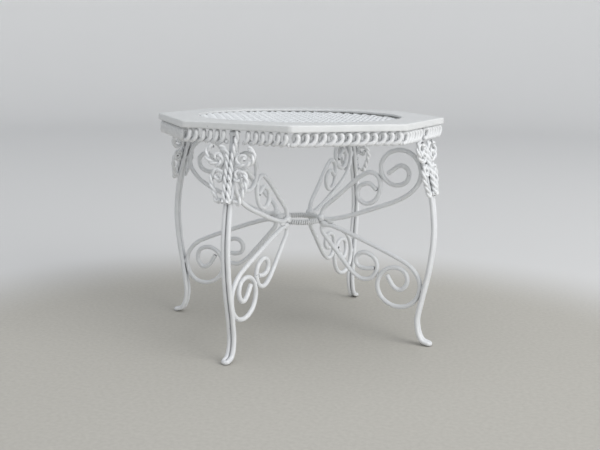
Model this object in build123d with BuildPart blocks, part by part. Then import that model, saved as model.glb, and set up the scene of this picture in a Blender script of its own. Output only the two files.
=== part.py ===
from build123d import *
import os
from math import cos, pi, radians, sin, sqrt, tan

# Miniature garden dining table at 1:12, made of bent and soldered wire.
# Millimetres. The origin is on the floor under the middle of the table, +Z is up.
# The legs stand towards -Y (front), +X (right), +Y (back) and -X (left).

# Top plate
table_height = 63.5
plate_apothem = 38.3
plate_thickness = 1.9
plate_corner_radius = 0.8
plate_edge_round = 0.3
opening_radius = 29.2
rebate_radius = 31.6
rebate_lip = 0.6
edge_count = 8

# Wire cloth in the opening
cloth_radius = 31.3
cloth_wire_radius = 0.4
cloth_pitch = 2.3
cloth_turn = -55.0
square_turn = 90.0

# Apron: wire wound into a flattened coil of overlapping loops, hanging under each edge of the plate
apron_wire_radius = 0.42
apron_apothem = 37.3
apron_half_length = 15.05
apron_edge_loops = 13
apron_leg_loops = 6
coil_middle_height = 59.7
coil_half_height = 1.52
coil_half_depth = 0.58
coil_swell = 0.62
coil_squareness = 0.6
coil_corners_per_loop = 8

# Legs: one wire bent into a hairpin, its two strands side by side
leg_wire_radius = 0.65
leg_strand_offset = 0.7
foot_slope = 15.0
foot_reach = 40.35
foot_toe_length = 1.6

# Scrolls in the plane of each leg
scroll_wire_radius = 0.65

# Hub
hub_height = 33.0
hub_radius = 6.2
hub_core_radius = 0.3
binding_wire_radius = 0.27
binding_clearance = 0.005
binding_turns = 64

# Brackets of twisted rope at the top of each leg
rope_radius = 0.7
stem_offset = 0.72
bracket_top_height = 57.35
bracket_top_reach = 38.2
bracket_knot_height = 43.5
bracket_knot_reach = 40.7

# Share of the shorter run beside a corner that its arc takes up
bend_share = 0.45

underside = table_height - plate_thickness
edge_turn = 360.0 / edge_count
edge_names = [
    "front",
    "front_right",
    "right",
    "back_right",
    "back",
    "back_left",
    "left",
    "front_left",
]
first_turn = -90.0

# The direction of each leg: all but the right one stand slightly askew
leg_turns = {"front": -91.4, "right": 0.0, "back": 88.7, "left": 181.5}
hands = {"left": -1, "right": 1}

# How far the apron coils stop from the middle of each leg, as (left-hand side, right-hand side)
apron_gaps = {"front": (3.05, 1.95), "right": (1.95, 1.95), "back": (1.95, 1.95), "left": (1.95, 1.95)}

# Corner points of the bent wires, as (reach from the middle, height)
leg_points = [
    (36.0, 61.6),
    (36.0, 58.2),
    (37.1, 54.6),
    (38.9, 48.8),
    (40.9, 41.2),
    (41.8, 32.0),
    (40.6, 21.5),
    (38.4, 12.0),
    (37.3, 6.8),
    (37.8, 3.2),
]
upper_scroll_points = [
    (24.2, 43.4),
    (22.0, 45.4),
    (18.5, 43.9),
    (18.4, 40.6),
    (20.9, 38.9),
    (24.0, 40.0),
    (25.6, 43.6),
    (25.0, 47.2),
    (22.2, 48.6),
    (18.6, 46.5),
    (12.5, 40.8),
    (8.2, 37.2),
    (7.0, 34.4),
    (9.5, 33.5),
    (15.0, 34.8),
    (23.0, 37.7),
    (30.0, 40.4),
    (34.5, 43.0),
    (37.3, 46.8),
    (37.1, 51.1),
    (34.4, 54.4),
    (30.2, 55.3),
    (26.4, 53.3),
    (25.0, 49.6),
    (26.7, 46.1),
    (30.2, 44.7),
    (33.6, 46.2),
    (33.9, 49.6),
    (31.2, 51.1),
    (27.6, 48.2),
]
lower_scroll_points = [
    (24.0, 20.7),
    (20.9, 20.2),
    (18.5, 21.2),
    (18.5, 24.0),
    (20.9, 25.3),
    (24.4, 24.0),
    (25.4, 20.8),
    (23.7, 17.6),
    (20.4, 16.9),
    (17.2, 19.0),
    (12.5, 24.3),
    (7.7, 29.8),
    (7.3, 31.6),
    (9.8, 32.1),
    (15.0, 30.6),
    (23.0, 27.6),
    (30.0, 24.9),
    (35.2, 22.5),
    (38.2, 18.6),
    (37.8, 13.8),
    (34.8, 10.6),
    (30.4, 10.0),
    (26.4, 12.2),
    (24.9, 16.2),
    (26.5, 20.1),
    (30.2, 21.9),
    (33.9, 20.7),
    (34.5, 17.2),
    (32.4, 14.9),
    (30.2, 15.8),
    (28.2, 19.0),
]

# Corner points of the right-hand bracket ropes, as (sideways, height); the left-hand ones mirror them
upper_c_points = [
    (5.4, 57.35),
    (7.1, 56.3),
    (6.9, 53.9),
    (5.0, 52.8),
    (2.8, 52.7),
    (2.1, 54.0),
    (2.9, 55.3),
    (4.5, 55.1),
    (4.5, 54.2),
]
lower_c_points = [
    (2.1, 43.9),
    (3.2, 43.0),
    (4.0, 45.2),
    (5.4, 48.1),
    (4.9, 50.6),
    (3.2, 51.5),
    (1.9, 50.7),
    (2.1, 49.0),
    (3.4, 48.6),
    (3.9, 49.8),
]

# Corner points of a stem rope, as (reach, height, sideways): its top turns out to the apron
stem_points = [
    (38.2, bracket_top_height, 3.0),
    (38.2, 56.4, 1.3),
    (38.5, 54.8, stem_offset),
    (40.3, 48.8, stem_offset),
    (41.4, 44.9, stem_offset),
    (41.8, 43.4, stem_offset),
]

# The front leg's left-hand stem rope rises to the plate instead
long_stem_points = [
    (37.5, 61.2, 1.9),
    (37.9, 58.2, 1.45),
    (38.4, 54.8, stem_offset),
    (40.3, 48.8, stem_offset),
    (41.4, 44.9, stem_offset),
    (41.8, 43.4, stem_offset),
]


def leg_plane(turn):
    """Upright plane through the table's middle: x runs out to the leg, y runs up."""
    outward = (cos(radians(turn)), sin(radians(turn)), 0)
    sideways = (sin(radians(turn)), -cos(radians(turn)), 0)
    return Plane(origin=(0, 0, 0), x_dir=outward, z_dir=sideways)


def edge_plane(turn):
    """Upright plane of one apron coil: x runs along the plate's edge, y runs up."""
    outward = Vector(cos(radians(turn)), sin(radians(turn)), 0)
    along = (-sin(radians(turn)), cos(radians(turn)), 0)
    return Plane(origin=outward * apron_apothem, x_dir=along, z_dir=outward)


def bend_radii(points):
    """The largest arc that fits each corner of a bent wire."""
    radii = []
    for before, corner, after in zip(points, points[1:], points[2:]):
        run_in = Vector(corner) - Vector(before)
        run_out = Vector(after) - Vector(corner)
        turn = radians(run_in.get_angle(run_out))
        shorter = min(run_in.length, run_out.length)
        radii.append(bend_share * shorter / tan(turn / 2))
    return radii


def section_plane(path):
    """Plane square to the start of a wire's path."""
    return Plane(origin=path @ 0, z_dir=path % 0)


def save(name, part):
    """Label a finished piece and write it as its own file."""
    part.label = name
    export_step(part, f"parts/{name}.step")


def make_top_plate():
    """Octagonal ring with a round opening and a rebate under its edge for the wire cloth."""
    with BuildPart() as plate:
        with BuildSketch(Plane.XY.offset(underside)) as outline:
            RegularPolygon(plate_apothem, edge_count, major_radius=False, rotation=edge_turn / 2)
            fillet(outline.vertices(), radius=plate_corner_radius)
        extrude(amount=plate_thickness)
        fillet(plate.faces().sort_by(Axis.Z)[-1].outer_wire().edges(), radius=plate_edge_round)
        with BuildSketch(Plane.XY.offset(underside)):
            Circle(opening_radius)
        extrude(amount=plate_thickness, mode=Mode.SUBTRACT)
        with BuildSketch(Plane.XY.offset(underside)):
            Circle(rebate_radius)
        extrude(amount=plate_thickness - rebate_lip, mode=Mode.SUBTRACT)
    save("top_plate", plate.part)


def make_cloth_wires(name, turn, height):
    """One set of parallel wires, each cut to the round outline of the wire cloth."""
    wires_each_side = int(cloth_radius / cloth_pitch)
    frame = Plane(origin=(0, 0, height), x_dir=(cos(radians(turn)), sin(radians(turn)), 0))
    with BuildPart() as wires:
        for step in range(-wires_each_side, wires_each_side + 1):
            aside = step * cloth_pitch
            half_length = sqrt(cloth_radius**2 - (abs(aside) + cloth_wire_radius) ** 2)
            start = frame.from_local_coords((-half_length, aside, 0))
            with BuildSketch(Plane(origin=start, z_dir=frame.x_dir)):
                Circle(cloth_wire_radius)
            extrude(amount=2 * half_length)
    save(name, wires.part)


def coil_points(first, pitch, loops):
    """Corner points of a flattened coil, as (along the edge, height, outward)."""
    points = []
    for step in range(loops * coil_corners_per_loop + 1):
        loop_count = step / coil_corners_per_loop
        swing = sin(2 * pi * loop_count)
        along = first + pitch * (loop_count + coil_swell * swing)
        height = coil_middle_height - coil_half_height * cos(2 * pi * loop_count)
        outward = coil_half_depth * swing * (1 + coil_squareness * (1 - swing**2))
        points.append((along, height, outward))
    return points


def make_apron(name, turn, first, last, loops):
    """One coil under an edge of the plate, from one place along the edge to another."""
    points = coil_points(first, (last - first) / loops, loops)
    with BuildPart() as apron:
        with BuildLine(edge_plane(turn)) as path:
            FilletPolyline(*points, radius=bend_radii(points))
        with BuildSketch(section_plane(path.wire())):
            Circle(apron_wire_radius)
        sweep(path=path.wire())
    save(name, apron.part)


def make_leg_apron(leg_name, edge_direction, leg_turn):
    """The two coils under an edge that has a leg, one on each side of the leg."""
    leg_place = apron_apothem * tan(radians(leg_turn - edge_direction))
    left_gap, right_gap = apron_gaps[leg_name]
    left_start = leg_place + left_gap
    right_end = leg_place - right_gap
    make_apron(f"apron_{leg_name}_half_left", edge_direction, left_start, apron_half_length, apron_leg_loops)
    make_apron(f"apron_{leg_name}_half_right", edge_direction, -apron_half_length, right_end, apron_leg_loops)


def hairpin_points():
    """Corner points of one leg strand, ended by the toe that slopes down to the foot."""
    slope = radians(foot_slope)
    toe_height = leg_wire_radius + leg_strand_offset * sin(slope)
    toe_start = (foot_reach - foot_toe_length * cos(slope), toe_height + foot_toe_length * sin(slope))
    return leg_points + [toe_start, (foot_reach, toe_height)]


def make_leg(name, turn):
    """Hairpin leg: down one strand, round the foot and up the other."""
    slope = radians(foot_slope)
    strand = hairpin_points()
    near = [(reach, height, leg_strand_offset) for reach, height in strand]
    far = [(reach, height, -leg_strand_offset) for reach, height in reversed(strand)]
    reach, height = strand[-1]
    tip = (reach + leg_strand_offset * cos(slope), height - leg_strand_offset * sin(slope), 0)
    with BuildPart() as leg:
        with BuildLine(leg_plane(turn)) as path:
            FilletPolyline(*near, radius=bend_radii(near))
            ThreePointArc(near[-1], tip, far[0])
            FilletPolyline(*far, radius=bend_radii(far))
        with BuildSketch(section_plane(path.wire())):
            Circle(leg_wire_radius)
        sweep(path=path.wire())
    save(name, leg.part)


def make_scroll(name, turn, points):
    """One wire curled at both ends, bent round the hub in the middle."""
    with BuildPart() as scroll:
        with BuildLine(leg_plane(turn)) as path:
            FilletPolyline(*points, radius=bend_radii(points))
        with BuildSketch(section_plane(path.wire())):
            Circle(scroll_wire_radius)
        sweep(path=path.wire())
    save(name, scroll.part)


def make_hub_ring():
    """Round wire ring at the middle of the table."""
    with BuildPart() as ring:
        with BuildSketch(Plane.XZ):
            with Locations((hub_radius, hub_height)):
                Circle(hub_core_radius)
        revolve(axis=Axis.Z)
    save("hub_ring", ring.part)


def make_hub_binding():
    """Fine wire wound round the hub ring, one closed turn after another."""
    turn_radius = hub_core_radius + binding_wire_radius + binding_clearance
    with BuildPart() as binding:
        with Locations((0, 0, hub_height)):
            with PolarLocations(hub_radius, binding_turns):
                Torus(turn_radius, binding_wire_radius, rotation=(square_turn, 0, 0))
    save("hub_binding", binding.part)


def bracket_reach(height):
    """How far out the bracket stands at a height: it leans in towards the apron."""
    share = (height - bracket_knot_height) / (bracket_top_height - bracket_knot_height)
    return bracket_knot_reach + share * (bracket_top_reach - bracket_knot_reach)


def make_bracket_c(name, turn, side, points):
    """One C-scroll of rope beside the leg."""
    rope_points = [(bracket_reach(height), height, side * aside) for aside, height in points]
    with BuildPart() as rope:
        with BuildLine(leg_plane(turn)) as path:
            FilletPolyline(*rope_points, radius=bend_radii(rope_points))
        with BuildSketch(section_plane(path.wire())):
            Circle(rope_radius)
        sweep(path=path.wire())
    save(name, rope.part)


def make_bracket_stem(name, turn, side, points):
    """One straight rope down the face of the leg."""
    rope_points = [(reach, height, side * aside) for reach, height, aside in points]
    with BuildPart() as rope:
        with BuildLine(leg_plane(turn)) as path:
            FilletPolyline(*rope_points, radius=bend_radii(rope_points))
        with BuildSketch(section_plane(path.wire())):
            Circle(rope_radius)
        sweep(path=path.wire())
    save(name, rope.part)


os.makedirs("parts", exist_ok=True)
warp_height = table_height - rebate_lip - cloth_wire_radius
weft_height = warp_height - 2 * cloth_wire_radius

make_top_plate()
make_cloth_wires("cloth_warp_wires", cloth_turn, warp_height)
make_cloth_wires("cloth_weft_wires", cloth_turn + square_turn, weft_height)
make_hub_ring()
make_hub_binding()
for index, edge_name in enumerate(edge_names):
    direction = first_turn + index * edge_turn
    if edge_name in leg_turns:
        make_leg_apron(edge_name, direction, leg_turns[edge_name])
    else:
        make_apron(f"apron_{edge_name}", direction, -apron_half_length, apron_half_length, apron_edge_loops)
for leg_name, turn in leg_turns.items():
    make_leg(f"leg_{leg_name}", turn)
    make_scroll(f"upper_scroll_{leg_name}", turn, upper_scroll_points)
    make_scroll(f"lower_scroll_{leg_name}", turn, lower_scroll_points)
    for hand, side in hands.items():
        stem = long_stem_points if (leg_name, hand) == ("front", "left") else stem_points
        make_bracket_stem(f"bracket_{leg_name}_stem_{hand}", turn, side, stem)
        make_bracket_c(f"bracket_{leg_name}_upper_c_{hand}", turn, side, upper_c_points)
        make_bracket_c(f"bracket_{leg_name}_lower_c_{hand}", turn, side, lower_c_points)
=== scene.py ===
from math import ceil, cos, floor, hypot, pi, radians, sin, sqrt, tan

import bpy
import numpy as np
from mathutils import Matrix, Vector, noise


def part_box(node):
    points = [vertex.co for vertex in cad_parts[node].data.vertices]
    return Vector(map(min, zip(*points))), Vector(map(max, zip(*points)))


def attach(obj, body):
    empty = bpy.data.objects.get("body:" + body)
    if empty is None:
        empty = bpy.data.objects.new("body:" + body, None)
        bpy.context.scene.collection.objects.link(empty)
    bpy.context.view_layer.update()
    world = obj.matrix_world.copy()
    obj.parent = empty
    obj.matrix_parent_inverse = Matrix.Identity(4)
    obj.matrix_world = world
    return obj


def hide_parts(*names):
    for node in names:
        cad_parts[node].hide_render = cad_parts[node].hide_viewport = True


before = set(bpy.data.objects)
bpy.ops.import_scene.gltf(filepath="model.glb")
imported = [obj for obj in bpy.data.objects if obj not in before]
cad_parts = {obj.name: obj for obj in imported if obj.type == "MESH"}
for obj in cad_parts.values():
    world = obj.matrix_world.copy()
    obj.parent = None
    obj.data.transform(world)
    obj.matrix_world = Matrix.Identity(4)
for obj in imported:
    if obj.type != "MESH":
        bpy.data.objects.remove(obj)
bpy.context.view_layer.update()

# All lengths are in millimetres until a mesh is made, then in metres.
MM = 0.001

# ---------------------------------------------------------------- sizes, as in the CAD model
table_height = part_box("top_plate")[1].z / MM
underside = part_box("top_plate")[0].z / MM
plate_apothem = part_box("top_plate")[1].x / MM
opening_radius = 29.2
rebate_radius = 31.6
rebate_lip = 0.6
plate_corner_radius = 0.8
lip_round = 0.16
rim_round = 0.32
wave_depth = 0.05
wave_size = 9.0
ripple_depth = 0.02
ripple_size = 2.2
edge_names = ["front", "front_right", "right", "back_right", "back", "back_left", "left", "front_left"]
first_turn = -90.0
edge_turn = 45.0
leg_turns = {"front": -91.4, "right": 0.0, "back": 88.7, "left": 181.5}
hands = {"left": -1, "right": 1}

cloth_radius = 31.3
cloth_pitch = 2.3
cloth_turn = -55.0
cloth_wire_radius = 0.4
cloth_middle = table_height - rebate_lip - 2 * cloth_wire_radius
cloth_tilt = np.array([0.008, 0.004])
crimp_height = 0.36
cloth_drift = 0.09

apron_wire_radius = 0.58
apron_apothem = 37.0
apron_half_length = 15.05
apron_edge_loops = 13
apron_leg_loops = 6
apron_gaps = {"front": (3.05, 1.95), "right": (1.95, 1.95), "back": (1.95, 1.95), "left": (1.95, 1.95)}
coil_middle_height = 59.68
coil_half_height = 1.38
coil_half_depth = 0.58
coil_swell = 0.42
coil_squareness = 0.6
coil_lean = 0.1
coil_pitch_change = 0.18
coil_width_change = 0.1
coil_lean_change = 0.25
coil_size_change = 0.08

leg_wire_radius = 0.65
leg_strand_offset = 0.7
foot_slope = radians(15.0)
foot_reach = 40.35
foot_toe_length = 1.6
scroll_wire_radius = 0.65
wire_step = 0.14

# The rounded end of a wire as (distance past the end, share of the radius left), in wire radii
wire_end_profile = [(0.16, 0.95), (0.3, 0.82), (0.38, 0.6), (0.42, 0.3)]
wire_end_length = 0.43

hub_height = 33.0
hub_radius = 6.2
hub_core_radius = 0.3
binding_wire_radius = 0.27
binding_turns = 64

rope_radius = 0.7
rope_twist_length = 4.0
rope_lay = -1
rope_step = 0.12
rope_strand_share = 0.57
stem_offset = 0.62
bracket_top_height = 57.35
bracket_top_reach = 38.2
bracket_knot_height = 43.5
bracket_knot_reach = 40.7

leg_points = [
    (36.0, 61.6), (36.0, 58.2), (37.1, 54.6), (38.9, 48.8), (40.9, 41.2),
    (41.8, 32.0), (40.6, 21.5), (38.4, 12.0), (37.3, 6.8), (37.8, 3.2),
]
upper_scroll_points = [
    (24.2, 43.4), (22.0, 45.4), (18.5, 43.9), (18.4, 40.6), (20.9, 38.9), (24.0, 40.0),
    (25.6, 43.6), (25.0, 47.2), (22.2, 48.6), (18.6, 46.5), (12.5, 40.8), (8.2, 37.2),
    (7.0, 34.4), (9.5, 33.5), (15.0, 34.8), (23.0, 37.7), (30.0, 40.4), (34.5, 43.0),
    (37.3, 46.8), (37.1, 51.1), (34.4, 54.4), (30.2, 55.3), (26.4, 53.3), (25.0, 49.6),
    (26.7, 46.1), (30.2, 44.7), (33.6, 46.2), (33.9, 49.6), (31.2, 51.1), (27.6, 48.2),
]
lower_scroll_points = [
    (24.0, 20.7), (20.9, 20.2), (18.5, 21.2), (18.5, 24.0), (20.9, 25.3), (24.4, 24.0),
    (25.4, 20.8), (23.7, 17.6), (20.4, 16.9), (17.2, 19.0), (12.5, 24.3), (7.7, 29.8),
    (7.3, 31.6), (9.8, 32.1), (15.0, 30.6), (23.0, 27.6), (30.0, 24.9), (35.2, 22.5),
    (38.2, 18.6), (37.8, 13.8), (34.8, 10.6), (30.4, 10.0), (26.4, 12.2), (24.9, 16.2),
    (26.5, 20.1), (30.2, 21.9), (33.9, 20.7), (34.5, 17.2), (32.4, 14.9), (30.2, 15.8),
    (28.2, 19.0),
]
upper_c_points = [
    (5.4, 57.35), (7.1, 56.3), (6.9, 53.9), (5.0, 52.8), (2.8, 52.7), (2.1, 54.0),
    (2.9, 55.3), (4.5, 55.1), (4.5, 54.2),
]
lower_c_points = [
    (2.1, 43.9), (3.2, 43.0), (4.0, 45.2), (5.4, 48.1), (4.9, 50.6), (3.2, 51.5),
    (1.9, 50.7), (2.1, 49.0), (3.4, 48.6), (3.9, 49.8),
]
stem_points = [
    (38.2, bracket_top_height, 3.0), (38.2, 56.4, 1.3), (38.5, 54.8, stem_offset),
    (40.3, 48.8, stem_offset), (41.4, 44.9, stem_offset), (41.8, 43.4, stem_offset),
]
long_stem_points = [
    (37.5, 61.2, 1.9), (37.9, 58.2, 1.45), (38.4, 54.8, stem_offset),
    (40.3, 48.8, stem_offset), (41.4, 44.9, stem_offset), (41.8, 43.4, stem_offset),
]

# How far each leg leans aside, and out, from its own plane at some heights: (height, aside, out)
leg_leans = {
    "front": [(0, 0.35, 0.0), (8, 0.45, 0.0), (12, 0.2, 0.0), (21, 0.0, 0.0), (30, -0.25, 0.0),
              (36, -0.4, 0.0), (43, -0.45, 0.0), (50, -0.1, 0.0), (58, 0.3, 0.0)],
    "right": [(0, 0.0, 0.6), (8, 0.0, 0.1), (16, 0.0, 0.0)],
    "back": [(0, 1.0, 0.0), (8, 0.6, 0.0), (20, 0.1, 0.0), (32, 0.05, 0.0), (50, -0.3, 0.0)],
    "left": [(0, -1.6, 0.65), (8, -1.1, 0.35), (16, -0.6, 0.0), (32, -0.3, 0.0), (50, 0.2, 0.0)],
}


# ---------------------------------------------------------------- paths
def bent_path(points, step=wire_step, softness=8):
    """A bent wire's centreline through its corner points, evenly spaced and without kinks."""
    corners = np.array(points, float)
    middles = (corners[:-1] + corners[1:]) / 2
    along = np.linspace(0, 1, 24)[:, None]
    pieces = [corners[:1]]
    for before, corner, after in zip(middles, corners[1:-1], middles[1:]):
        tangent_in = corner - before
        tangent_out = after - corner
        reach = min(np.linalg.norm(tangent_in), np.linalg.norm(tangent_out))
        start = corner - tangent_in / np.linalg.norm(tangent_in) * reach
        end = corner + tangent_out / np.linalg.norm(tangent_out) * reach
        pieces.append((1 - along) ** 2 * start + 2 * along * (1 - along) * corner + along**2 * end)
    pieces.append(corners[-1:])
    path = even_steps(np.concatenate(pieces), step)
    for _ in range(softness):
        path[1:-1] = (path[:-2] + 2 * path[1:-1] + path[2:]) / 4
    return path


def even_steps(path, step):
    """The same line with points at equal distances."""
    lengths = np.linalg.norm(np.diff(path, axis=0), axis=1)
    keep = np.concatenate([[True], lengths > 1e-6])
    path = path[keep]
    travelled = travelled_length(path)
    count = max(2, ceil(travelled[-1] / step) + 1)
    stations = np.linspace(0, travelled[-1], count)
    return np.stack([np.interp(stations, travelled, path[:, k]) for k in range(3)], 1)


def travelled_length(path):
    """Distance along the path at each of its points."""
    return np.concatenate([[0], np.cumsum(np.linalg.norm(np.diff(path, axis=0), axis=1))])


def frames_along(path, closed=False):
    """Tangent and two crosswise directions at each point, turning as little as possible."""
    if closed:
        tangents = np.roll(path, -1, 0) - np.roll(path, 1, 0)
    else:
        tangents = np.gradient(path, axis=0)
    tangents /= np.linalg.norm(tangents, axis=1)[:, None]
    first = np.cross(tangents[0], (0.0, 0.0, 1.0))
    if np.linalg.norm(first) < 0.2:
        first = np.cross(tangents[0], (1.0, 0.0, 0.0))
    across = np.empty_like(path)
    current = first / np.linalg.norm(first)
    for index, tangent in enumerate(tangents):
        current = current - tangent * (current @ tangent)
        current = current / np.linalg.norm(current)
        across[index] = current
    return tangents, across, np.cross(tangents, across)


def on_leg(points, leg_name):
    """Points (reach, height, sideways) of a leg's own plane, in the table's frame, with the leg's lean."""
    turn = radians(leg_turns[leg_name])
    outward = np.array([cos(turn), sin(turn), 0.0])
    sideways = np.array([sin(turn), -cos(turn), 0.0])
    reach, height, aside = np.array(points, float).T
    lean_heights, lean_aside, lean_out = np.array(leg_leans[leg_name]).T
    share = reach / foot_reach
    aside = aside + share * np.interp(height, lean_heights, lean_aside)
    reach = reach + share * np.interp(height, lean_heights, lean_out)
    return reach[:, None] * outward + aside[:, None] * sideways + height[:, None] * np.array([0.0, 0.0, 1.0])


def on_edge(points, turn):
    """Points (along, height, outward) about the upright plane of one edge's apron."""
    outward = np.array([cos(radians(turn)), sin(radians(turn)), 0.0])
    along = np.array([-sin(radians(turn)), cos(radians(turn)), 0.0])
    rows = np.array(points, float)
    reach = apron_apothem + rows[:, 2:]
    return reach * outward + rows[:, :1] * along + rows[:, 1:2] * np.array([0.0, 0.0, 1.0])


# ---------------------------------------------------------------- meshes
class Shape:
    """Vertices and faces gathered for one piece, in millimetres. cut marks the faces of cut wire ends."""

    def __init__(self):
        self.vertices = []
        self.faces = []
        self.cut = []
        self.count = 0

    def add(self, vertices, faces, cut=()):
        self.vertices.append(vertices)
        cut = set(cut)
        for index, face in enumerate(faces):
            self.faces.append(tuple(corner + self.count for corner in face))
            self.cut.append(index in cut)
        self.count += len(vertices)


def paint_bulge(points, depth, size, seed):
    """How much thicker or thinner the paint lies at each point."""
    shift = Vector((seed * 7.31, seed * 3.17, seed * 1.93))
    return np.array([depth * noise.noise(Vector(point) / size + shift) for point in points])


def add_tube(shape, path, radius, sides=14, closed=False, unevenness=0.03, patch=1.6, seed=0):
    """A round wire along a path, its paint slightly uneven and its ends rounded over."""
    tangents, across, upward = frames_along(path, closed)
    angles = np.linspace(0, 2 * pi, sides, endpoint=False)
    ring = np.cos(angles)[None, :, None] * across[:, None, :]
    ring = ring + np.sin(angles)[None, :, None] * upward[:, None, :]
    radii = np.full(len(path), float(radius))
    middles = path.copy()
    if not closed:
        # Each end is a few shrinking rings, then a point.
        end_rings = len(wire_end_profile)
        before = [path[0] - tangents[0] * radius * out for out, _ in reversed(wire_end_profile)]
        after = [path[-1] + tangents[-1] * radius * out for out, _ in wire_end_profile]
        middles = np.concatenate([before, middles, after])
        ring = np.concatenate([[ring[0]] * end_rings, ring, [ring[-1]] * end_rings])
        shares = [radius * share for _, share in wire_end_profile]
        radii = np.concatenate([shares[::-1], radii, shares])
    surface = middles[:, None, :] + ring * radii[:, None, None]
    flat = surface.reshape(-1, 3)
    bulge = paint_bulge(flat, unevenness, patch, seed).reshape(len(middles), sides)
    if not closed:
        bulge *= (radii / radius)[:, None]
    surface = surface + ring * bulge[:, :, None]
    vertices = list(map(tuple, surface.reshape(-1, 3)))
    rows = len(middles)
    faces = []
    for row in range(rows if closed else rows - 1):
        here, there = row * sides, (row + 1) % rows * sides
        for side in range(sides):
            onward = (side + 1) % sides
            faces.append((here + side, here + onward, there + onward, there + side))
    cut_faces = []
    if not closed:
        ends = (
            (0, tangents[0] * -wire_end_length, path[0], True),
            (rows - 1, tangents[-1] * wire_end_length, path[-1], False),
        )
        cut_faces.extend(range(0, 2 * sides))
        cut_faces.extend(range((rows - 3) * sides, (rows - 1) * sides))
        for row, outward, end, first in ends:
            tip = len(vertices)
            vertices.append(tuple(end + outward * radius))
            for side in range(sides):
                onward = (side + 1) % sides
                corners = (row * sides + onward, row * sides + side, tip)
                cut_faces.append(len(faces))
                faces.append(corners if first else corners[::-1])
    shape.add(vertices, faces, cut_faces)


def add_rope(shape, path, seed):
    """Two strands twisted round each other. The sign of rope_lay is the direction of the twist."""
    strand_radius = rope_strand_share * rope_radius
    strand_offset = rope_radius - strand_radius
    _, across, upward = frames_along(path)
    angles = rope_lay * 2 * pi * travelled_length(path) / rope_twist_length + seed
    for strand in (0, pi):
        turned = angles + strand
        swing = np.cos(turned)[:, None] * across + np.sin(turned)[:, None] * upward
        strand_path = path + strand_offset * swing
        add_tube(shape, strand_path, strand_radius, sides=10, unevenness=0.035, patch=1.0, seed=seed)


def add_blob(shape, centre, size, turn=0.0, seed=0):
    """A rounded lump of solder under paint. size is its half width (outward, sideways, up)."""
    rows, sides = 14, 20
    outward = np.array([cos(radians(turn)), sin(radians(turn)), 0.0])
    sideways = np.array([sin(radians(turn)), -cos(radians(turn)), 0.0])
    vertices = []
    for row in range(1, rows):
        polar = pi * row / rows
        for side in range(sides):
            angle = 2 * pi * side / sides
            ray = np.array([sin(polar) * cos(angle), sin(polar) * sin(angle), cos(polar)])
            lump = 1 + 0.16 * noise.noise(Vector(ray) * 1.4 + Vector((seed * 1.7, seed * 2.3, seed)))
            at = ray * np.array(size) * lump
            vertices.append(tuple(centre + outward * at[0] + sideways * at[1] + np.array([0, 0, at[2]])))
    vertices.append(tuple(centre + np.array([0, 0, size[2]])))
    vertices.append(tuple(centre - np.array([0, 0, size[2]])))
    top, bottom = len(vertices) - 2, len(vertices) - 1
    faces = []
    for row in range(rows - 2):
        for side in range(sides):
            onward = (side + 1) % sides
            here, there = row * sides, (row + 1) * sides
            faces.append((here + side, here + onward, there + onward, there + side))
    for side in range(sides):
        onward = (side + 1) % sides
        faces.append((side, top, onward))
        faces.append(((rows - 2) * sides + onward, bottom, (rows - 2) * sides + side))
    shape.add(vertices, faces)


def make_piece(name, shape, material, nodes, cut_material=None):
    """Turn a shape into a smooth object that rides on the table and stands for its CAD nodes."""
    mesh = bpy.data.meshes.new(name)
    vertices = np.concatenate([np.array(rows, float) for rows in shape.vertices]) * MM
    mesh.from_pydata(vertices.tolist(), [], shape.faces)
    mesh.materials.append(material)
    if cut_material is not None:
        mesh.materials.append(cut_material)
        mesh.polygons.foreach_set("material_index", [int(cut) for cut in shape.cut])
    mesh.polygons.foreach_set("use_smooth", [True] * len(mesh.polygons))
    mesh.update()
    piece = bpy.data.objects.new(name, mesh)
    bpy.context.scene.collection.objects.link(piece)
    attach(piece, "root")
    if nodes:
        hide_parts(*nodes)


# ---------------------------------------------------------------- materials
def add_node(tree, kind, **values):
    """A shader node with its plain settings and its unlinked inputs filled in."""
    node = tree.nodes.new(kind)
    for key, value in values.items():
        if key in node.inputs:
            node.inputs[key].default_value = value
        else:
            setattr(node, key, value)
    return node


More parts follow.
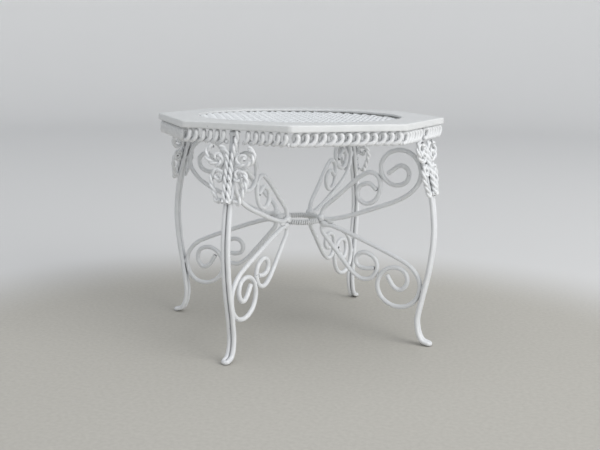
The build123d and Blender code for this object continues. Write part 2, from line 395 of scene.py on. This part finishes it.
def enamel(name, colour, shade, grain, roughness, crevice=0.5, crevice_size=0.9, coat=0.0):
    """White enamel: faint patches, a fine uneven skin, painted shade greying the crevices and a few dark
    chips.
    """
    material = bpy.data.materials.new(name)
    material.use_nodes = True
    tree = material.node_tree
    tree.nodes.clear()
    link = tree.links.new
    output = add_node(tree, "ShaderNodeOutputMaterial")
    shader = add_node(tree, "ShaderNodeBsdfPrincipled")
    shader.inputs["Specular IOR Level"].default_value = 0.45
    shader.inputs["Coat Weight"].default_value = coat
    shader.inputs["Coat Roughness"].default_value = 0.25
    link(shader.outputs[0], output.inputs[0])
    place = add_node(tree, "ShaderNodeTexCoord")

    patches = add_node(tree, "ShaderNodeTexNoise", Scale=1 / (3.2 * MM), Detail=3.0, Roughness=0.6)
    link(place.outputs["Object"], patches.inputs["Vector"])
    tint = add_node(tree, "ShaderNodeValToRGB")
    tint.color_ramp.elements[0].position = 0.3
    tint.color_ramp.elements[0].color = (*shade, 1)
    tint.color_ramp.elements[1].position = 0.7
    tint.color_ramp.elements[1].color = (*colour, 1)
    link(patches.outputs["Fac"], tint.inputs["Fac"])

    # Painted shade: ambient occlusion darkens the colour in crevices and where wires touch, by up to the
    # crevice share.
    hollow = add_node(tree, "ShaderNodeAmbientOcclusion", Distance=crevice_size * MM, samples=8)
    depth = add_node(tree, "ShaderNodeMapRange")
    depth.inputs["From Min"].default_value = 0.1
    depth.inputs["From Max"].default_value = 0.75
    depth.inputs["To Min"].default_value = 1 - crevice
    depth.inputs["To Max"].default_value = 1.0
    link(hollow.outputs["AO"], depth.inputs["Value"])
    crevice_shade = add_node(tree, "ShaderNodeMix", data_type="RGBA", blend_type="MULTIPLY")
    crevice_shade.inputs["Factor"].default_value = 1.0
    link(tint.outputs["Color"], crevice_shade.inputs[6])
    link(depth.outputs["Result"], crevice_shade.inputs[7])

    specks = add_node(tree, "ShaderNodeTexNoise", Scale=1 / (0.9 * MM), Detail=2.0)
    link(place.outputs["Object"], specks.inputs["Vector"])
    chip = add_node(tree, "ShaderNodeMapRange")
    chip.inputs["From Min"].default_value = 0.755
    chip.inputs["From Max"].default_value = 0.79
    link(specks.outputs["Fac"], chip.inputs["Value"])
    chipped = add_node(tree, "ShaderNodeMix", data_type="RGBA")
    chipped.inputs[7].default_value = (0.16, 0.16, 0.17, 1)
    link(chip.outputs["Result"], chipped.inputs["Factor"])
    link(crevice_shade.outputs[2], chipped.inputs[6])
    link(chipped.outputs[2], shader.inputs["Base Color"])

    gloss = add_node(tree, "ShaderNodeMapRange")
    gloss.inputs["From Min"].default_value = 0.3
    gloss.inputs["From Max"].default_value = 0.7
    gloss.inputs["To Min"].default_value = roughness - 0.07
    gloss.inputs["To Max"].default_value = roughness + 0.09
    link(patches.outputs["Fac"], gloss.inputs["Value"])
    link(gloss.outputs["Result"], shader.inputs["Roughness"])

    skin = add_node(tree, "ShaderNodeTexNoise", Scale=1 / (grain * MM), Detail=4.0, Roughness=0.55)
    link(place.outputs["Object"], skin.inputs["Vector"])
    relief = add_node(tree, "ShaderNodeBump", Strength=0.5, Distance=0.05 * MM)
    link(skin.outputs["Fac"], relief.inputs["Height"])
    link(relief.outputs["Normal"], shader.inputs["Normal"])
    return material


def bare_wire(name):
    """The cut end of a wire, where the steel shows grey through thin paint."""
    material = bpy.data.materials.new(name)
    material.use_nodes = True
    tree = material.node_tree
    shader = tree.nodes["Principled BSDF"]
    shader.inputs["Roughness"].default_value = 0.5
    place = add_node(tree, "ShaderNodeTexCoord")
    patches = add_node(tree, "ShaderNodeTexNoise", Scale=1 / (0.35 * MM), Detail=2.0)
    tree.links.new(place.outputs["Object"], patches.inputs["Vector"])
    tint = add_node(tree, "ShaderNodeValToRGB")
    tint.color_ramp.elements[0].position = 0.42
    tint.color_ramp.elements[0].color = (0.10, 0.10, 0.11, 1)
    tint.color_ramp.elements[1].position = 0.62
    tint.color_ramp.elements[1].color = (0.55, 0.56, 0.57, 1)
    tree.links.new(patches.outputs["Fac"], tint.inputs["Fac"])
    tree.links.new(tint.outputs["Color"], shader.inputs["Base Color"])
    return material


# Each paint's crevice value is how strongly painted shade darkens its colour in its crevices.
plate_paint = enamel("plate_paint", (0.79, 0.80, 0.80), (0.74, 0.755, 0.755), 0.8, 0.42, crevice=0.4)
cloth_paint = enamel("cloth_paint", (0.80, 0.82, 0.835), (0.75, 0.77, 0.785), 0.6, 0.36, crevice=0.3)
apron_paint = enamel("apron_paint", (0.83, 0.84, 0.85), (0.78, 0.79, 0.80), 0.6, 0.38, crevice=0.05)
wire_paint = enamel("wire_paint", (0.83, 0.845, 0.86), (0.775, 0.79, 0.81), 0.9, 0.36, crevice=0.5, coat=0.1)
rope_paint = enamel("rope_paint", (0.86, 0.87, 0.88), (0.81, 0.825, 0.84), 0.6, 0.38, crevice=0.2)
binding_paint = enamel(
    "binding_paint", (0.80, 0.81, 0.82), (0.73, 0.745, 0.755), 0.5, 0.4, crevice=0.4, crevice_size=0.5
)
bare_end = bare_wire("bare_end")


# ---------------------------------------------------------------- top plate
def octagon_reach(angle, apothem, corner_radius):
    """Distance from the middle to an octagon's outline, its corners rounded."""
    turned = (angle + pi / 8) % (pi / 4) - pi / 8
    side = apothem * tan(pi / 8)
    centre_along = side - corner_radius * tan(pi / 8)
    centre_out = apothem - corner_radius
    limit = np.arctan2(centre_along, apothem)
    if abs(turned) <= limit:
        return apothem / cos(turned)
    distance = hypot(centre_along, centre_out)
    to_centre = abs(turned) - np.arctan2(centre_along, centre_out)
    return distance * cos(to_centre) + sqrt(corner_radius**2 - (distance * sin(to_centre)) ** 2)


def make_plate():
    """Octagonal sheet ring: rebate, rounded lip, flat top and rounded rim, as one closed skin."""
    around = 384
    angles = [2 * pi * step / around for step in range(around)]
    outline = np.array([octagon_reach(angle, plate_apothem, plate_corner_radius) for angle in angles])
    rays = np.stack([np.cos(angles), np.sin(angles), np.zeros(around)], 1)
    top, step_height = table_height, table_height - rebate_lip
    inner = opening_radius + lip_round
    profile = [("circle", rebate_radius, underside), ("circle", rebate_radius, (underside + step_height) / 2)]
    profile.append(("circle", rebate_radius, step_height))
    profile.append(("circle", (rebate_radius + opening_radius) / 2, step_height))
    profile.append(("circle", opening_radius + 0.04, step_height))
    profile.append(("circle", opening_radius, step_height + 0.06))
    for step in range(5):
        angle = pi / 2 * step / 4
        reach = opening_radius + lip_round * (1 - cos(angle))
        profile.append(("circle", reach, top - lip_round * (1 - sin(angle))))
    for share in (0.04, 0.1, 0.2, 0.32, 0.44, 0.56, 0.68, 0.8, 0.9):
        profile.append(("between", share, top))
    for step in range(6):
        angle = pi / 2 * step / 5
        profile.append(("rim", rim_round * (1 - sin(angle)), top - rim_round * (1 - cos(angle))))
    for share in (0.25, 0.5, 0.75):
        profile.append(("rim", 0.0, top - rim_round - share * (top - 2 * rim_round - underside)))
    for step in range(5):
        angle = pi / 2 * step / 4
        profile.append(("rim", rim_round * (1 - cos(angle)), underside + rim_round * (1 - sin(angle))))
    for share in (0.75, 0.5, 0.25):
        profile.append(("under", share, underside))
    rings = []
    for kind, value, height in profile:
        if kind == "circle":
            reach = np.full(around, value)
        elif kind == "between":
            reach = inner + (outline - rim_round - inner) * value
        elif kind == "rim":
            reach = outline - value
        else:
            reach = rebate_radius + (outline - rim_round - rebate_radius) * value
        ring = rays * reach[:, None]
        ring[:, 2] = height
        rings.append(ring)
    surface = np.array(rings)
    # The paint's waves are sunk by their full depth, so that the top stays inside the plate's height.
    waves = paint_bulge(surface.reshape(-1, 3), wave_depth, wave_size, 3).reshape(surface.shape[:2])
    ripples = paint_bulge(surface.reshape(-1, 3), ripple_depth, ripple_size, 5).reshape(surface.shape[:2])
    sink = wave_depth + ripple_depth
    upper_half = surface[:, :, 2] > underside + 0.9
    surface[:, :, 2] += np.where(upper_half, waves + ripples - sink, 0.0)
    count = len(rings)
    faces = []
    for row in range(count):
        here, there = row * around, (row + 1) % count * around
        for step in range(around):
            onward = (step + 1) % around
            faces.append((here + onward, here + step, there + step, there + onward))
    shape = Shape()
    shape.add(list(map(tuple, surface.reshape(-1, 3))), faces)
    make_piece("top_plate_sheet", shape, plate_paint, ["top_plate"])


# ---------------------------------------------------------------- wire cloth
def make_cloth(name, node, turn, phase, seed):
    """One set of crimped wires of the cloth, each passing over and under the other set."""
    direction = np.array([cos(radians(turn)), sin(radians(turn)), 0.0])
    sideways = np.array([-direction[1], direction[0], 0.0])
    each_side = floor(cloth_radius / cloth_pitch)
    shape = Shape()
    for step in range(-each_side, each_side + 1):
        aside = step * cloth_pitch
        half = sqrt(cloth_radius**2 - (abs(aside) + cloth_wire_radius) ** 2)
        stations = np.linspace(-half, half, max(8, int(2 * half / cloth_pitch * 9)))
        rise = crimp_height * np.cos(pi * (stations / cloth_pitch + step + phase))
        drift = cloth_drift * np.array([noise.noise(Vector((at / 9.0, step * 0.7, seed))) for at in stations])
        path = stations[:, None] * direction + (aside + drift)[:, None] * sideways
        path[:, 2] = cloth_middle + rise - path[:, :2] @ cloth_tilt
        add_tube(shape, path, cloth_wire_radius, sides=10, unevenness=0.04, patch=1.1, seed=seed + step)
    make_piece(name, shape, cloth_paint, [node])


# ---------------------------------------------------------------- apron
def coil_path(first, last, loops, seed):
    """Centreline of a flattened coil as (along, height, outward), its loops wound unevenly by hand."""
    steps_per_loop = 44
    loop_count = np.arange(loops * steps_per_loop + 1) / steps_per_loop
    drift = np.array([noise.noise(Vector((at * 0.9, seed * 5.3, 0.0))) for at in loop_count])
    size = np.array([noise.noise(Vector((at * 0.8, seed * 5.3, 7.0))) for at in loop_count])
    lean = np.array([noise.noise(Vector((at * 0.7, seed * 5.3, 14.0))) for at in loop_count])
    held = np.minimum(1.0, np.minimum(loop_count, loops - loop_count))
    pitch = (last - first) / loops
    swing = np.sin(2 * pi * loop_count)
    rise = -np.cos(2 * pi * loop_count)
    wound = loop_count + coil_pitch_change * held * drift
    along = first + pitch * (wound + (coil_swell + coil_width_change * size) * swing)
    along = along + coil_lean * rise + coil_lean_change * lean * rise
    height = coil_middle_height + (coil_half_height + coil_size_change * lean - coil_size_change) * rise
    outward = coil_half_depth * swing * (1 + coil_squareness * (1 - swing**2)) + coil_size_change * size
    return np.stack([along, height, outward], 1)


def make_apron(name, turn, first, last, loops, seed):
    """One coil under an edge of the plate, from one place along the edge to another."""
    shape = Shape()
    path = even_steps(on_edge(coil_path(first, last, loops, seed), turn), 0.17)
    add_tube(shape, path, apron_wire_radius, sides=12, unevenness=0.05, patch=1.0, seed=seed)
    make_piece(f"{name}_coil", shape, apron_paint, [name])


def make_leg_apron(leg_name, turn, seed):
    """The two coils under an edge that has a leg, one on each side of the leg."""
    leg_place = apron_apothem * tan(radians(leg_turns[leg_name] - turn))
    left_gap, right_gap = apron_gaps[leg_name]
    right_end, left_start = leg_place - right_gap, leg_place + left_gap
    make_apron(f"apron_{leg_name}_half_right", turn, -apron_half_length, right_end, apron_leg_loops, seed)
    make_apron(f"apron_{leg_name}_half_left", turn, left_start, apron_half_length, apron_leg_loops, seed + 20)


# ---------------------------------------------------------------- legs and scrolls
def make_leg(leg_name, seed):
    """Hairpin leg: down one strand, round the foot and up the other."""
    toe_height = leg_wire_radius + leg_strand_offset * sin(foot_slope)
    toe_start_height = toe_height + foot_toe_length * sin(foot_slope)
    toe_start = (foot_reach - foot_toe_length * cos(foot_slope), toe_start_height)
    strand = leg_points + [toe_start, (foot_reach, toe_height)]
    near = bent_path([(reach, height, leg_strand_offset) for reach, height in strand])
    far = near[::-1] * np.array([1, 1, -1])
    bend = []
    for step in range(1, 12):
        angle = pi * step / 12
        out = leg_strand_offset * sin(angle)
        reach, height = foot_reach + out * cos(foot_slope), toe_height - out * sin(foot_slope)
        bend.append((reach, height, leg_strand_offset * cos(angle)))
    path = even_steps(np.concatenate([near, np.array(bend), far]), wire_step)
    shape = Shape()
    add_tube(shape, on_leg(path, leg_name), leg_wire_radius, sides=18, unevenness=0.035, patch=2.4, seed=seed)
    make_piece(f"leg_{leg_name}_wire", shape, wire_paint, [f"leg_{leg_name}"])


def make_scroll(kind, leg_name, points, seed):
    """One wire curled at both ends, bent round the hub in the middle."""
    flat = [(reach, height, 0.0) for reach, height in points]
    shape = Shape()
    path = on_leg(bent_path(flat), leg_name)
    add_tube(shape, path, scroll_wire_radius, sides=18, unevenness=0.035, patch=2.0, seed=seed)
    node = f"{kind}_scroll_{leg_name}"
    make_piece(f"{node}_wire", shape, wire_paint, [node], bare_end)


# ---------------------------------------------------------------- hub
def make_hub():
    """The ring and the fine wire wound round it."""
    around = np.linspace(0, 2 * pi, 180, endpoint=False)
    ring = np.stack([hub_radius * np.cos(around), hub_radius * np.sin(around), np.full(180, hub_height)], 1)
    shape = Shape()
    add_tube(shape, ring, hub_core_radius, sides=12, closed=True, unevenness=0.01)
    make_piece("hub_ring_wire", shape, wire_paint, ["hub_ring"])
    winding = np.linspace(0, 2 * pi, binding_turns * 18, endpoint=False)
    small = hub_core_radius + binding_wire_radius
    reach = hub_radius + small * np.cos(winding * binding_turns)
    height = hub_height + small * np.sin(winding * binding_turns)
    coil = np.stack([reach * np.cos(winding), reach * np.sin(winding), height], 1)
    shape = Shape()
    add_tube(shape, coil, binding_wire_radius, sides=10, closed=True, unevenness=0.03, patch=0.9, seed=4)
    make_piece("hub_binding_coil", shape, binding_paint, ["hub_binding"])


# ---------------------------------------------------------------- brackets
def bracket_reach(height):
    """How far out the bracket stands at a height: it leans in towards the apron."""
    share = (height - bracket_knot_height) / (bracket_top_height - bracket_knot_height)
    return bracket_knot_reach + share * (bracket_top_reach - bracket_knot_reach)


def make_bracket(leg_name, hand, seed):
    """The three ropes on one side of a leg."""
    side = hands[hand]
    stem = long_stem_points if (leg_name, hand) == ("front", "left") else stem_points
    ropes = {
        "stem": [(reach, height, side * aside) for reach, height, aside in stem],
        "upper_c": [(bracket_reach(height), height, side * aside) for aside, height in upper_c_points],
        "lower_c": [(bracket_reach(height), height, side * aside) for aside, height in lower_c_points],
    }
    for index, (kind, points) in enumerate(ropes.items()):
        shape = Shape()
        path = on_leg(bent_path(points, rope_step, 5), leg_name)
        add_rope(shape, path, seed + index * 1.3)
        node = f"bracket_{leg_name}_{kind}_{hand}"
        make_piece(f"{node}_rope", shape, rope_paint, [node], bare_end)


# ---------------------------------------------------------------- solder
def make_solder(leg_name, seed):
    """Painted-over solder where the wires of one leg meet."""
    joints = [
        ((37.9, 48.9, 0.0), (0.55, 0.7, 1.1)),
        ((38.7, 16.4, 0.0), (0.5, 0.65, 1.0)),
        ((7.3, 33.9, 0.0), (1.25, 1.15, 1.2)),
        ((8.3, 32.3, 0.0), (1.5, 0.95, 1.0)),
        ((10.2, 33.1, 0.0), (1.2, 0.7, 0.7)),
        ((41.1, 43.8, 0.0), (0.75, 1.5, 0.9)),
        ((36.6, 60.6, 0.0), (0.5, 1.3, 0.7)),
        ((25.6, 46.4, 0.0), (0.3, 0.45, 0.7)),
        ((25.3, 18.6, 0.0), (0.3, 0.45, 0.7)),
    ]
    shape = Shape()
    for index, (centre, size) in enumerate(joints):
        add_blob(shape, on_leg([centre], leg_name)[0], size, leg_turns[leg_name], seed + index)
    make_piece(f"solder_{leg_name}", shape, wire_paint, [])


make_plate()
make_cloth("cloth_warp_crimped", "cloth_warp_wires", cloth_turn, 0.0, 21)
make_cloth("cloth_weft_crimped", "cloth_weft_wires", cloth_turn + 90, 1.0, 57)
for index, edge_name in enumerate(edge_names):
    turn = first_turn + index * edge_turn
    if edge_name in leg_turns:
        make_leg_apron(edge_name, turn, 11 + index)
    else:
        name = f"apron_{edge_name}"
        make_apron(name, turn, -apron_half_length, apron_half_length, apron_edge_loops, 11 + index)
for index, leg_name in enumerate(leg_turns):
    make_leg(leg_name, 31 + index)
    make_scroll("upper", leg_name, upper_scroll_points, 41 + index)
    make_scroll("lower", leg_name, lower_scroll_points, 51 + index)
    make_solder(leg_name, 61 + 9 * index)
    for hand, side in hands.items():
        make_bracket(leg_name, hand, 71 + 2 * index + side)
make_hub()


# ---------------------------------------------------------------- floor, light and camera
# These sizes are in metres. The linen pool is a round patch with a soft edge, a little in front of the table.
linen_centre = (0.0174, -0.036, 0.0)
linen_inner = 0.095
linen_outer = 0.16
linen_shade = (0.500, 0.484, 0.442, 1)
linen_colour = (0.562, 0.545, 0.501, 1)
# Painted light: outside the linen pool the grey lightens from backdrop_near to backdrop_far out to
# backdrop_reach, so that the far, upturned backdrop, which gets less light, looks as bright as the floor.
backdrop_near = (0.76, 0.76, 0.755, 1)
backdrop_far = (0.95, 0.95, 0.945, 1)
backdrop_reach = 1.1
floor_radius = 0.8
backdrop_radius = 0.3

sky_colour = (0.93, 0.96, 1.0, 1)
sky_strength = 0.31
light_target = Vector((0, 0, 0.035))

camera_azimuth = radians(25.69)
camera_elevation = radians(10.45)
camera_roll = radians(0.70)
camera_lens = 55.45
camera_sensor = 36.0
# The camera's distance and the point it looks at, in table heights
camera_distance = 4.308
camera_aim_right = 0.0057
camera_aim_up = 0.489


def floor_material():
    """Light grey floor and backdrop, painted lighter further from the table to stand in for light, with a
    pool of pale linen colour where the table stands.
    """
    material = bpy.data.materials.new("pale_floor")
    material.use_nodes = True
    tree = material.node_tree
    shader = tree.nodes["Principled BSDF"]
    shader.inputs["Roughness"].default_value = 0.95
    shader.inputs["Specular IOR Level"].default_value = 0.1
    place = add_node(tree, "ShaderNodeTexCoord")
    shift = add_node(tree, "ShaderNodeVectorMath", operation="SUBTRACT")
    shift.inputs[1].default_value = linen_centre
    tree.links.new(place.outputs["Object"], shift.inputs[0])
    length = add_node(tree, "ShaderNodeVectorMath", operation="LENGTH")
    tree.links.new(shift.outputs["Vector"], length.inputs[0])
    fade = add_node(tree, "ShaderNodeMapRange", interpolation_type="SMOOTHSTEP")
    fade.inputs["From Min"].default_value = linen_inner
    fade.inputs["From Max"].default_value = linen_outer
    tree.links.new(length.outputs["Value"], fade.inputs["Value"])
    weave = add_node(tree, "ShaderNodeTexNoise", Scale=900.0, Detail=4.0)
    tree.links.new(place.outputs["Object"], weave.inputs["Vector"])
    cloth = add_node(tree, "ShaderNodeValToRGB")
    cloth.color_ramp.elements[0].position = 0.25
    cloth.color_ramp.elements[0].color = linen_shade
    cloth.color_ramp.elements[1].position = 0.75
    cloth.color_ramp.elements[1].color = linen_colour
    tree.links.new(weave.outputs["Fac"], cloth.inputs["Fac"])
    # Painted light: the grey lightens with distance from the linen pool's centre.
    backdrop_painted_light = add_node(tree, "ShaderNodeMapRange")
    backdrop_painted_light.inputs["From Min"].default_value = linen_outer
    backdrop_painted_light.inputs["From Max"].default_value = backdrop_reach
    tree.links.new(length.outputs["Value"], backdrop_painted_light.inputs["Value"])
    grey = add_node(tree, "ShaderNodeMix", data_type="RGBA")
    grey.inputs[6].default_value = backdrop_near
    grey.inputs[7].default_value = backdrop_far
    tree.links.new(backdrop_painted_light.outputs["Result"], grey.inputs["Factor"])
    mix = add_node(tree, "ShaderNodeMix", data_type="RGBA")
    tree.links.new(grey.outputs[2], mix.inputs[7])
    tree.links.new(fade.outputs["Result"], mix.inputs["Factor"])
    tree.links.new(cloth.outputs["Color"], mix.inputs[6])
    tree.links.new(mix.outputs[2], shader.inputs["Base Color"])
    return material


def make_floor():
    """A flat floor that curves up into a round backdrop far behind the table."""
    around, flat_steps, curve_steps = 96, 16, 12
    profile = [(floor_radius / flat_steps * step, 0.0) for step in range(flat_steps + 1)]
    for step in range(1, curve_steps + 1):
        angle = pi / 2 * step / curve_steps
        profile.append((floor_radius + backdrop_radius * sin(angle), backdrop_radius * (1 - cos(angle))))
    vertices = [(0.0, 0.0, 0.0)]
    for reach, height in profile[1:]:
        for step in range(around):
            angle = 2 * pi * step / around
            vertices.append((reach * cos(angle), reach * sin(angle), height))
    faces = [(0, 1 + step, 1 + (step + 1) % around) for step in range(around)]
    for row in range(len(profile) - 2):
        here, there = 1 + row * around, 1 + (row + 1) * around
        for step in range(around):
            onward = (step + 1) % around
            faces.append((here + step, there + step, there + onward, here + onward))
    mesh = bpy.data.meshes.new("floor")
    mesh.from_pydata(vertices, [], faces)
    mesh.polygons.foreach_set("use_smooth", [True] * len(mesh.polygons))
    mesh.materials.append(floor_material())
    floor_object = bpy.data.objects.new("floor", mesh)
    bpy.context.scene.collection.objects.link(floor_object)


def add_area_light(name, azimuth, elevation, distance, size, power, colour):
    """A square soft light aimed at the table. Azimuth and elevation are as for the camera."""
    turn, tilt = radians(azimuth), radians(elevation)
    direction = Vector((sin(turn) * cos(tilt), -cos(turn) * cos(tilt), sin(tilt)))
    data = bpy.data.lights.new(name, "AREA")
    data.shape = "SQUARE"
    data.size = size
    data.energy = power
    data.color = colour
    lamp = bpy.data.objects.new(name, data)
    lamp.location = light_target + direction * distance
    lamp.rotation_euler = direction.to_track_quat("Z", "Y").to_euler()
    bpy.context.scene.collection.objects.link(lamp)


def make_world():
    """Even pale surroundings."""
    world = bpy.data.worlds.new("surroundings")
    bpy.context.scene.world = world
    world.use_nodes = True
    background = world.node_tree.nodes["Background"]
    background.inputs["Color"].default_value = sky_colour
    background.inputs["Strength"].default_value = sky_strength


def make_camera():
    """Camera at the table's left front, a little above its top, rolled by a fraction of a degree."""
    distance = camera_distance * table_height * MM
    level = cos(camera_elevation)
    back = Vector((sin(camera_azimuth) * level, -cos(camera_azimuth) * level, sin(camera_elevation)))
    right = Vector((cos(camera_azimuth), sin(camera_azimuth), 0))
    up = back.cross(right)
    target = right * camera_aim_right * table_height * MM + Vector((0, 0, camera_aim_up * table_height * MM))
    tilted_right = right * cos(camera_roll) + up * sin(camera_roll)
    tilted_up = up * cos(camera_roll) - right * sin(camera_roll)
    data = bpy.data.cameras.new("camera")
    data.sensor_width = camera_sensor
    data.lens = camera_lens
    data.clip_start = 0.01
    data.dof.use_dof = False
    camera = bpy.data.objects.new("camera", data)
    axes = Matrix((tilted_right, tilted_up, back)).transposed().to_4x4()
    camera.matrix_world = Matrix.Translation(target + back * distance) @ axes
    bpy.context.scene.collection.objects.link(camera)
    bpy.context.scene.camera = camera


make_floor()
make_world()
add_area_light("key", 76, 28, 0.9, 0.6, 4.4, (1.0, 0.995, 0.985))
add_area_light("top", 50, 82, 0.9, 1.2, 4.2, (0.97, 0.98, 1.0))
add_area_light("fill", -75, 30, 1.1, 0.8, 0.3, (0.93, 0.96, 1.0))
make_camera()
bpy.context.scene.view_settings.view_transform = "Standard"
